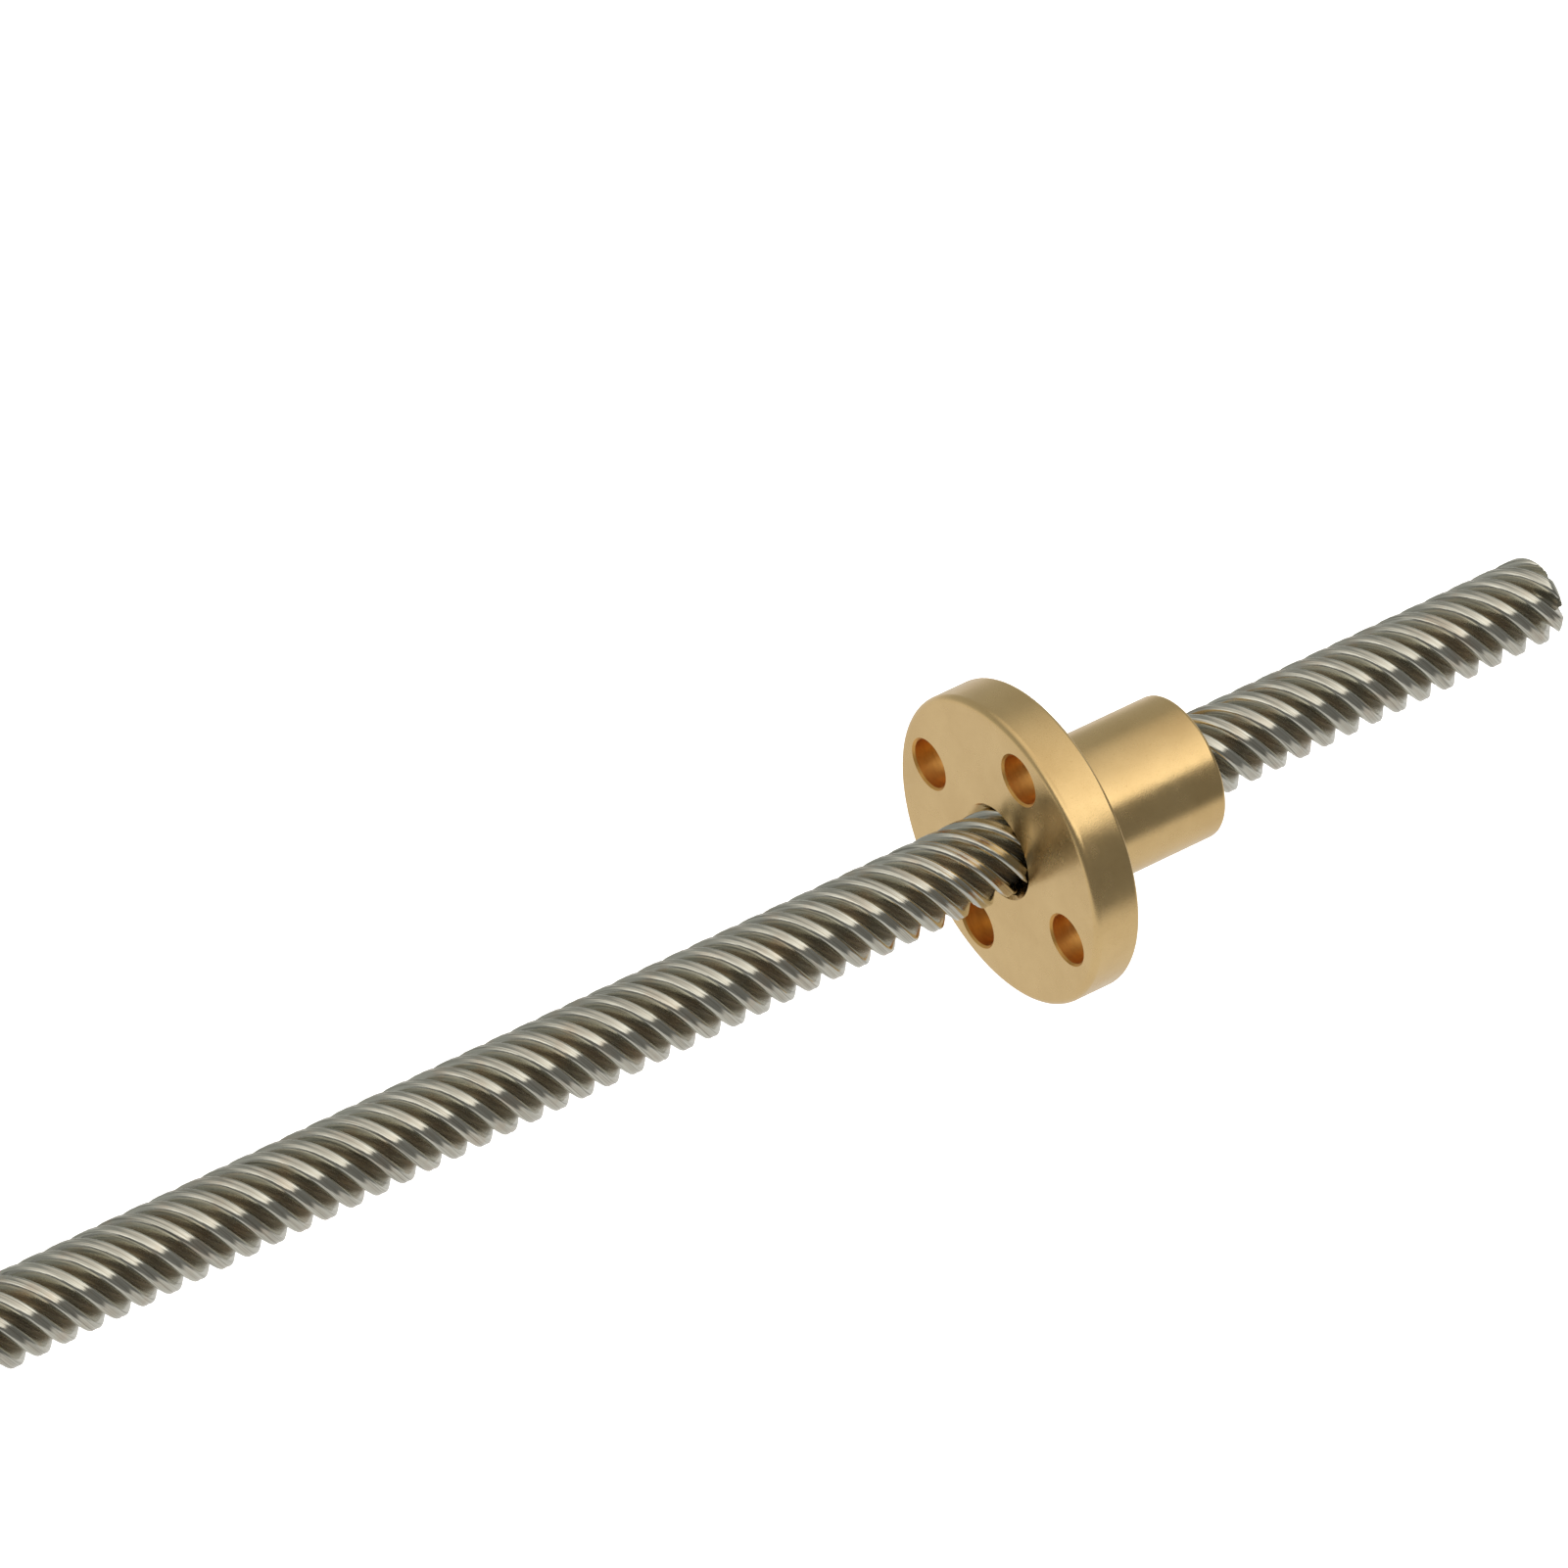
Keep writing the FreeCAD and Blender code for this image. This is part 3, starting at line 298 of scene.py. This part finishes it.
def brass():
    material, n = new_material("nut_brass", 1.0, 0.24, 0.35)
    cloud = noise(n, 260.0, 4.0)
    speck = noise(n, 9000.0, 2.0)
    tone = n.ramp(cloud, [(0.30, (0.74, 0.52, 0.245)), (0.70, (0.82, 0.59, 0.29))])
    tone = n.mix(n.ramp(speck, [(0.60, 0.0), (0.72, 0.35)]), tone, (0.55, 0.33, 0.11))
    n.put(n.surface.inputs["Base Color"], tone)
    n.put(n.surface.inputs["Roughness"], n.ramp(noise(n, 900.0), [(0.3, 0.20), (0.7, 0.29)]))
    grain = bump(n, speck, 0.004 * MM)
    n.put(n.surface.inputs["Normal"], bump(n, turned(n, 0.05 * MM), 0.002 * MM, grain))
    radial_tangent(n)
    return material


def drilled_brass_painted_shade():
    """The walls of drilled holes: duller than the turned faces, with painted shade and a painted reflection
    of the brass around them.
    """
    material, n = new_material("drilled_brass_painted_shade", 1.0, 0.42)
    cloud = noise(n, 900.0, 4.0, (3.0, 1.0, 1.0))
    # Painted shade and painted reflection: the hole walls get a darker, more orange brass than the nut's
    # turned faces.
    tone = n.ramp(cloud, [(0.3, (0.66, 0.35, 0.095)), (0.7, (0.85, 0.49, 0.15))])
    n.put(n.surface.inputs["Base Color"], tone)
    n.put(n.surface.inputs["Normal"], bump(n, cloud, 0.01 * MM))
    return material


def thread_steel():
    """Rolled steel. The streaks follow the ridges, and the colour turns a darker, duller brown deeper in the
    grooves.
    """
    material, n = new_material("screw_steel", 1.0, 0.20)
    helix = n.add("ShaderNodeUVMap", uv_map="helix").outputs["UV"]
    depth = n.add("ShaderNodeAttribute", attribute_name="groove").outputs["Fac"]
    seam = n.add("ShaderNodeAttribute", attribute_name="seam").outputs["Fac"]
    streak = noise(n, 1.0, 3.0, (60.0, 5200.0, 1.0), helix)
    smear = noise(n, 420.0, 4.0)
    tones = [(0.32, (0.30, 0.29, 0.25)), (0.44, (0.54, 0.53, 0.47)), (0.70, (0.72, 0.71, 0.64))]
    steel = n.ramp(streak, tones)
    steel = n.mix(n.ramp(smear, [(0.52, 0.0), (0.75, 0.6)]), steel, (0.56, 0.44, 0.33))
    # Painted shade: the steel is darkened towards a brown grey along each crest's seam, a dark line between
    # the ridge's two highlights.
    steel = n.mix(n.math("MULTIPLY", seam, 0.35), steel, (0.38, 0.33, 0.26))
    # Deeper in the grooves the steel turns a darker, duller brown, by the groove depth alone.
    groove_brown = n.mix(smear, (0.20, 0.20, 0.155), (0.44, 0.35, 0.24))
    deep = n.ramp(depth, [(0.42, 0.0), (0.78, 0.90)])
    deep_groove_darkening = n.math("MULTIPLY", deep, n.ramp(smear, [(0.2, 0.7), (0.6, 1.0)]))
    n.put(n.surface.inputs["Base Color"], n.mix(deep_groove_darkening, steel, groove_brown))
    n.put(n.surface.inputs["Metallic"], n.ramp(deep_groove_darkening, [(0.0, 1.0), (1.0, 0.9)]))
    n.put(n.surface.inputs["Roughness"], n.ramp(deep_groove_darkening, [(0.0, 0.14), (1.0, 0.42)]))
    n.put(n.surface.inputs["Normal"], bump(n, streak, 0.016 * MM))
    return material


def stacked_black():
    """Black lacquer on the stack of sheets, a little different from sheet to sheet."""
    material, n = new_material("core_black", 0.0, 0.38)
    place = n.add("ShaderNodeTexCoord").outputs["Object"]
    along = n.add("ShaderNodeSeparateXYZ", {0: place}).outputs["X"]
    sheet = noise(n, 1300.0, 1.0, None, n.add("ShaderNodeCombineXYZ", {0: along}).outputs[0])
    fine = noise(n, 1500.0, 4.0)
    tone = n.ramp(sheet, [(0.3, (0.013, 0.013, 0.015)), (0.7, (0.040, 0.040, 0.044))])
    n.put(n.surface.inputs["Base Color"], tone)
    n.put(n.surface.inputs["Roughness"], n.ramp(fine, [(0.3, 0.32), (0.7, 0.48)]))
    n.put(n.surface.inputs["Normal"], bump(n, fine, 0.006 * MM))
    return material


def grained(name, colour, roughness, grain=1200.0, depth=0.003 * MM, metallic=1.0, spread=0.12):
    """Metal or plastic with a fine grain in its colour, gloss and surface."""
    material, n = new_material(name, metallic, roughness)
    fine = noise(n, grain, 3.0)
    dark = tuple(c * (1 - spread) for c in colour)
    light = tuple(min(1.0, c * (1 + spread)) for c in colour)
    n.put(n.surface.inputs["Base Color"], n.ramp(fine, [(0.3, dark), (0.7, light)]))
    gloss = n.ramp(fine, [(0.3, roughness * 0.85), (0.7, min(1.0, roughness * 1.2))])
    n.put(n.surface.inputs["Roughness"], gloss)
    n.put(n.surface.inputs["Normal"], bump(n, fine, depth))
    return material


MATERIALS = {
    "nut_brass": brass(),
    "screw_steel": thread_steel(),
    "cast_aluminium": grained("cast_aluminium", (0.62, 0.63, 0.64), 0.42, 2600.0, 0.012 * MM),
    "core_black": stacked_black(),
    "rotor_steel": grained("rotor_steel", (0.42, 0.41, 0.40), 0.35),
    "magnet": grained("magnet", (0.20, 0.20, 0.21), 0.45),
    "bearing_steel": grained("bearing_steel", (0.66, 0.66, 0.66), 0.14, 600.0, 0.0005 * MM, 1.0, 0.03),
    "shield_steel": grained("shield_steel", (0.56, 0.56, 0.56), 0.28),
    "zinc_steel": grained("zinc_steel", (0.62, 0.63, 0.66), 0.25, 900.0),
    "spring_steel": grained("spring_steel", (0.30, 0.30, 0.31), 0.30),
    "copper_winding": grained("copper_winding", (0.72, 0.30, 0.14), 0.32, 3000.0, 0.03 * MM),
    "former_nylon": grained("former_nylon", (0.80, 0.78, 0.70), 0.5, 900.0, 0.004 * MM, 0.0, 0.04),
    "board_laminate": grained("board_laminate", (0.05, 0.17, 0.08), 0.4, 1500.0, 0.004 * MM, 0.0, 0.15),
    "header_nylon": grained("header_nylon", (0.66, 0.64, 0.57), 0.42, 1100.0, 0.003 * MM, 0.0, 0.04),
    "tinned_pin": grained("tinned_pin", (0.75, 0.74, 0.72), 0.2),
}


# ---------------------------------------------------------------- the thread


def smoothstep(low, high, x):
    t = np.clip((x - low) / (high - low), 0.0, 1.0)
    return t * t * (3 - 2 * t)


def thread_radius(angle, play=0.0):
    """The thread's radius at an angle from a ridge's middle: broad round ridges and narrow round grooves."""
    wave = (1 - np.cos(STARTS * angle)) / 2
    return CREST_RADIUS + play - (CREST_RADIUS - ROOT_RADIUS) * wave**RIDGE_BREADTH


def crest_seam(angle):
    """The shallow seam that rolling leaves along the top of each ridge."""
    from_crest = np.abs((angle + math.pi / STARTS) % (TURN / STARTS) - math.pi / STARTS)
    return SEAM_DEPTH * (1 - smoothstep(0.0, SEAM_HALF_WIDTH, from_crest))


def helical_grid(stations, radius_at):
    """Points of rings whose columns follow the thread. Column 0 is on a ridge, and angles run from +Y to +Z.

    radius_at(x, own) gives the radii round one ring, for the columns' own angles from column 0.
    """
    own = TURN * np.arange(COLUMNS) / COLUMNS
    points = []
    for x in stations:
        angle = own + THREAD_CLOCKING + TURN * max(x, THREAD_START) / LEAD
        radius = radius_at(x, own)
        points.append(np.stack([np.full(COLUMNS, x), radius * np.cos(angle), radius * np.sin(angle)], axis=1))
    return points


def screw_stations():
    """Where the screw's rings are: at each step of the plain shank, then close together along the thread."""
    tail = SCREW_START.x
    step = 0.02 * MM
    groove_start, groove_end = CLIP_GROOVE
    shank = [
        tail,
        tail + TAIL_CHAMFER,
        groove_start - step,
        groove_start,
        groove_end,
        groove_end + step,
        THREAD_START,
    ]
    run_in = np.linspace(THREAD_START + 0.1 * MM, THREAD_START + RUN_IN, 10)
    tip = SCREW_END.x - TIP_ROUND + TIP_ROUND * np.sin(np.linspace(0.0, math.pi / 2, TIP_RINGS))
    steps = int((tip[0] - run_in[-1]) / RING_SPACING)
    middle = np.linspace(run_in[-1], tip[0], steps)[1:-1]
    return np.concatenate([shank, run_in, middle, tip])


def screw_radius(x, own):
    """The screw's radius round one ring."""
    margin = 0.01 * MM
    if x < SCREW_START.x + margin:
        return np.full(COLUMNS, SHANK_RADIUS - TAIL_CHAMFER)
    if CLIP_GROOVE[0] - margin < x < CLIP_GROOVE[1] + margin:
        return np.full(COLUMNS, CLIP_GROOVE_RADIUS)
    if x <= THREAD_START:
        return np.full(COLUMNS, SHANK_RADIUS)
    radius = thread_radius(own) - crest_seam(own)
    into_thread = smoothstep(RUN_IN_SLOPE_START, RUN_IN, x - THREAD_START)
    radius = np.maximum(radius, SHANK_RADIUS - (SHANK_RADIUS - ROOT_RADIUS) * into_thread)
    radius = np.minimum(radius, SHANK_RADIUS + (x - THREAD_START))
    into_tip = x - (SCREW_END.x - TIP_ROUND)
    if into_tip > 0:
        limit = CREST_RADIUS - TIP_ROUND + math.sqrt(max(0.0, TIP_ROUND**2 - into_tip**2))
        radius = np.minimum(radius, limit)
    return radius


def mesh_from_rings(name, rings):
    """A mesh through rings of points with as many points each, closed at both ends."""
    count = len(rings[0])
    faces = []
    for k in range(len(rings) - 1):
        for i in range(count):
            j = (i + 1) % count
            faces.append((k * count + i, k * count + j, (k + 1) * count + j, (k + 1) * count + i))
    last = (len(rings) - 1) * count
    faces.append(tuple(reversed(range(count))))
    faces.append(tuple(last + i for i in range(count)))
    mesh = bpy.data.meshes.new(name)
    mesh.from_pydata([tuple(p) for ring in rings for p in ring], [], faces)
    return mesh


def add_piece(mesh, body, nodes, slot, sharp):
    """Makes an object of a mesh. It rides on a body, stands for CAD nodes and has their slot's material."""
    mesh.shade_smooth()
    mesh.set_sharp_from_angle(angle=math.radians(sharp))
    if not mesh.materials:
        mesh.materials.append(MATERIALS[slot])
    piece = bpy.data.objects.new(mesh.name, mesh)
    bpy.context.scene.collection.objects.link(piece)
    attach(piece, body)
    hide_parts(*nodes)
    return piece


def add_screw():
    """The screw. Its mesh keeps each point's depth in a groove, share of a seam and place along a ridge."""
    stations = screw_stations()
    mesh = mesh_from_rings("rolled_screw", helical_grid(stations, screw_radius))
    own = TURN * np.arange(COLUMNS) / COLUMNS
    groove = np.array([
        (CREST_RADIUS - screw_radius(x, own)) / (CREST_RADIUS - ROOT_RADIUS) * (x > THREAD_START + MM)
        for x in stations
    ])
    tip_share = np.clip((stations - (SCREW_END.x - 2 * TIP_ROUND)) / TIP_ROUND, 0, 1)
    groove *= (1 - tip_share)[:, None]
    seam = np.outer(stations > THREAD_START + MM, crest_seam(own) / SEAM_DEPTH) * (1 - tip_share)[:, None]
    for attribute_name, values in (("groove", groove), ("seam", seam)):
        attribute = mesh.attributes.new(attribute_name, "FLOAT", "POINT")
        attribute.data.foreach_set("value", values.astype(np.float32).ravel())
    uv = mesh.uv_layers.new(name="helix")
    along = np.repeat(stations, COLUMNS)
    across = np.tile(own * CREST_RADIUS, len(stations))
    corners = np.zeros(len(mesh.loops), np.int64)
    mesh.loops.foreach_get("vertex_index", corners)
    uvs = np.stack([along[corners], across[corners]], axis=1)
    uvs[corners_past_a_turn(mesh, corners), 1] += TURN * CREST_RADIUS
    uv.data.foreach_set("uv", uvs.astype(np.float32).ravel())
    add_piece(mesh, "rotor", ["lead_screw"], "screw_steel", 40.0)


def corners_past_a_turn(mesh, corners):
    """Face corners in the last column of quads that sit on column 0, whose map has to run on past a turn."""
    column = corners % COLUMNS
    found = np.zeros(len(corners), bool)
    for polygon in mesh.polygons:
        if polygon.loop_total != 4:
            continue
        own = slice(polygon.loop_start, polygon.loop_start + 4)
        if column[own].max() == COLUMNS - 1 and column[own].min() == 0:
            found[own] = column[own] == 0
    return found


# ---------------------------------------------------------------- the nut


NUT_FLANGE_RADIUS = NUT_END.z
NUT_FLANGE = 3.5 * MM
NUT_BARREL_RADIUS = 5.1 * MM
NUT_HOLE_RADIUS = 1.75 * MM
NUT_HOLE_CIRCLE = 8.0 * MM
NUT_HOLES = 4
NUT_CLOCKING = math.radians(15.8)
NUT_MOUTH = 3.45 * MM
NUT_MOUTH_INNER = 2.55 * MM
NUT_MOUTH_DEPTH = 0.9 * MM
RIM_ROUND = 0.5 * MM
RIM_STEPS = 6
BACK_ROUND = 0.3 * MM
BARREL_ROUND = 0.35 * MM
EDGE_STEPS = 4
EDGE_BREAK = 0.15 * MM
AROUND = 192
HOLE_AROUND = 48


def circle(bm, x, radius, count, centre=(0.0, 0.0)):
    """A ring of vertices round an axis parallel to X."""
    made = []
    for i in range(count):
        a = TURN * i / count
        made.append(bm.verts.new((x, centre[0] + radius * math.cos(a), centre[1] + radius * math.sin(a))))
    return made


def bridge(bm, a, b, material=0):
    for i in range(len(a)):
        j = (i + 1) % len(a)
        bm.faces.new((a[i], a[j], b[j], b[i])).material_index = material


def fill(bm, loops):
    """A flat face bounded by closed loops of vertices, the outer one and any holes in it."""
    edges = []
    for loop in loops:
        for i in range(len(loop)):
            pair = (loop[i], loop[(i + 1) % len(loop)])
            edges.append(bm.edges.get(pair) or bm.edges.new(pair))
    bmesh.ops.triangle_fill(bm, edges=edges, use_beauty=True)


def quarter(x, radius, size, steps, inwards, start):
    """Places (x, radius) along a rounded outer edge whose sharp corner would be at x, radius.

    inwards is 1 or -1, the way along X into the metal. start is "r" if the first place is on the face across
    the axis, and "x" if it is on the surface round it.
    """
    places = []
    for i in range(steps + 1):
        a = math.pi / 2 * i / steps
        along, down = (math.cos(a), math.sin(a)) if start == "r" else (math.sin(a), math.cos(a))
        places.append((x + inwards * size * (1 - along), radius - size * (1 - down)))
    return places


def nut_outside():
    """The nut's turned outline: (x, radius) from the flange's front face to the end of the barrel."""
    back = NUT_START.x + NUT_FLANGE
    rim, barrel, foot = NUT_FLANGE_RADIUS, NUT_BARREL_RADIUS, BACK_ROUND
    outline = quarter(NUT_START.x, rim, RIM_ROUND, RIM_STEPS, 1, "r")
    outline += quarter(back, rim, BACK_ROUND, EDGE_STEPS, -1, "x")
    for a in np.linspace(0, math.pi / 2, EDGE_STEPS + 1):
        outline.append((back + foot - foot * math.cos(a), barrel + foot - foot * math.sin(a)))
    outline += quarter(NUT_END.x, barrel, BARREL_ROUND, EDGE_STEPS, -1, "x")
    return outline


def add_nut():
    """The turned nut: its outside, four drilled holes and the threaded bore, with flat faces between them."""
    bm = bmesh.new()
    front, back = NUT_START.x, NUT_START.x + NUT_FLANGE
    rings = [circle(bm, x, r, AROUND) for x, r in nut_outside()]
    back_edge = RIM_STEPS + 1 + EDGE_STEPS
    for k in range(len(rings) - 1):
        if k != back_edge:
            bridge(bm, rings[k], rings[k + 1])
    holes_front, holes_back = [], []
    for k in range(NUT_HOLES):
        a = NUT_CLOCKING + TURN * k / NUT_HOLES
        centre = (NUT_HOLE_CIRCLE * math.cos(a), NUT_HOLE_CIRCLE * math.sin(a))
        wide = NUT_HOLE_RADIUS + EDGE_BREAK
        hole = [
            circle(bm, front, wide, HOLE_AROUND, centre),
            circle(bm, front + EDGE_BREAK, NUT_HOLE_RADIUS, HOLE_AROUND, centre),
            circle(bm, back - EDGE_BREAK, NUT_HOLE_RADIUS, HOLE_AROUND, centre),
            circle(bm, back, wide, HOLE_AROUND, centre),
        ]
        for first, second in zip(hole, hole[1:]):
            bridge(bm, first, second, 1)
        holes_front.append(hole[0])
        holes_back.append(hole[-1])
    bore = nut_bore(bm)
    fill(bm, [rings[0], bore[0], *holes_front])
    fill(bm, [rings[back_edge], rings[back_edge + 1], *holes_back])
    fill(bm, [rings[-1], bore[-1]])
    bmesh.ops.recalc_face_normals(bm, faces=bm.faces)
    mesh = bpy.data.meshes.new("turned_nut")
    bm.to_mesh(mesh)
    bm.free()
    mesh.materials.append(MATERIALS["nut_brass"])
    mesh.materials.append(drilled_brass_painted_shade())
    piece = add_piece(mesh, "travelling_nut", ["flanged_nut"], "nut_brass", 40.0)
    piece.modifiers.new("face_normals", "WEIGHTED_NORMAL").keep_sharp = True


def nut_bore(bm):
    """The threaded bore's rings, from the front face to the barrel's end, with a cone at each mouth."""
    front, end = NUT_START.x, NUT_END.x
    inside = np.linspace(front, end, int((end - front) / (0.25 * MM)) + 1)

    def radius_at(x, own):
        into = min(x - front, end - x)
        cone = NUT_MOUTH - (NUT_MOUTH - NUT_MOUTH_INNER) * into / NUT_MOUTH_DEPTH
        return np.maximum(thread_radius(own, NUT_PLAY), cone)

    made = []
    for ring in helical_grid(inside, radius_at):
        made.append([bm.verts.new(tuple(p)) for p in ring])
    for first, second in zip(made, made[1:]):
        bridge(bm, first, second)
    return made


# ---------------------------------------------------------------- the motor


def dress_nodes():
    """Gives every CAD node that still shows its slot's material."""
    for row in frame["record"]["subparts"]:
        node = frame["nodes"][row["node"]]
        node.data.materials.clear()
        node.data.materials.append(MATERIALS[row["material_slot"]])


def soften(name, width, angle=30.0):
    """Rounds a CAD node's sharp edges a little, with modifiers that leave its own mesh alone."""
    node = frame["nodes"][name]
    node.modifiers.new("weld", "WELD").merge_threshold = 0.001 * MM
    flatten = node.modifiers.new("flatten", "DECIMATE")
    flatten.decimate_type = "DISSOLVE"
    flatten.angle_limit = math.radians(0.5)
    rounding = node.modifiers.new("rounding", "BEVEL")
    rounding.width = width
    rounding.segments = 3
    rounding.limit_method = "ANGLE"
    rounding.angle_limit = math.radians(angle)
    rounding.harden_normals = True


CORE_CORNER = 5.5 * MM
LAMINATION = 0.5 * MM
SHEET_GAP = 0.09 * MM
SHEET_GAP_DEPTH = 0.06 * MM
NEAR = 0.01 * MM


def core_skin(face):
    """True for a face on the core's outside: its four sides and the flats across its corners."""
    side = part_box("stator_core")[1].y - NEAR
    corner = 2 * side - CORE_CORNER - NEAR
    if abs(face.normal.x) > 0.5:
        return False
    return all(
        abs(v.co.y) > side or abs(v.co.z) > side or abs(v.co.y) + abs(v.co.z) > corner
        for v in face.verts
    )


def add_core():
    """The stator's stack of steel sheets: the CAD mesh with a fine groove cut round it between sheets."""
    bm = bmesh.new()
    bm.from_mesh(frame["nodes"]["stator_core"].data)
    bmesh.ops.remove_doubles(bm, verts=bm.verts[:], dist=0.001 * MM)
    bm.normal_update()
    bmesh.ops.delete(bm, geom=[face for face in bm.faces if core_skin(face)], context="FACES_ONLY")
    loose = {v for edge in bm.edges if edge.is_boundary for v in edge.verts}
    lowest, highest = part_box("stator_core")
    back, front = lowest.x, highest.x
    ends = []
    for x in (back, front):
        ring = [v for v in loose if abs(v.co.x - x) < NEAR]
        ends.append(sorted(ring, key=lambda v: math.atan2(v.co.z, v.co.y)))
    if len(ends[0]) != len(ends[1]):
        raise SystemExit(f"the core's ends have {len(ends[0])} and {len(ends[1])} corners")
    outline = [v.co.copy() for v in ends[0]]
    rings = [ends[0]]
    sheets = round((front - back) / LAMINATION)
    for k in range(1, sheets):
        x = back + (front - back) * k / sheets
        for offset, inwards in ((-SHEET_GAP / 2, 0.0), (0.0, SHEET_GAP_DEPTH), (SHEET_GAP / 2, 0.0)):
            shrink = 1 - inwards / outline[0].length
            ring = [(x + offset, corner.y * shrink, corner.z * shrink) for corner in outline]
            rings.append([bm.verts.new(point) for point in ring])
    rings.append(ends[1])
    for first, second in zip(rings, rings[1:]):
        bridge(bm, first, second)
    bmesh.ops.recalc_face_normals(bm, faces=bm.faces[:])
    mesh = bpy.data.meshes.new("laminated_core")
    bm.to_mesh(mesh)
    bm.free()
    add_piece(mesh, "motor_frame", ["stator_core"], "core_black", 20.0)


dress_nodes()
add_core()
for name in ("front_end_bell", "rear_end_bell"):
    soften(name, 0.25 * MM)
soften("header_housing", 0.12 * MM)
add_screw()
add_nut()
add_camera()
add_world()
add_floor()
key_target = Vector((0.08, 0.0, 0.0))
key_place = key_target + Vector((0.36, -0.60, 0.96))
key = add_area_light("key", key_place, key_target, 0.8, 10.0, (1.0, 0.97, 0.92))
key.visible_glossy = False
bpy.context.scene.view_settings.view_transform = "Standard"
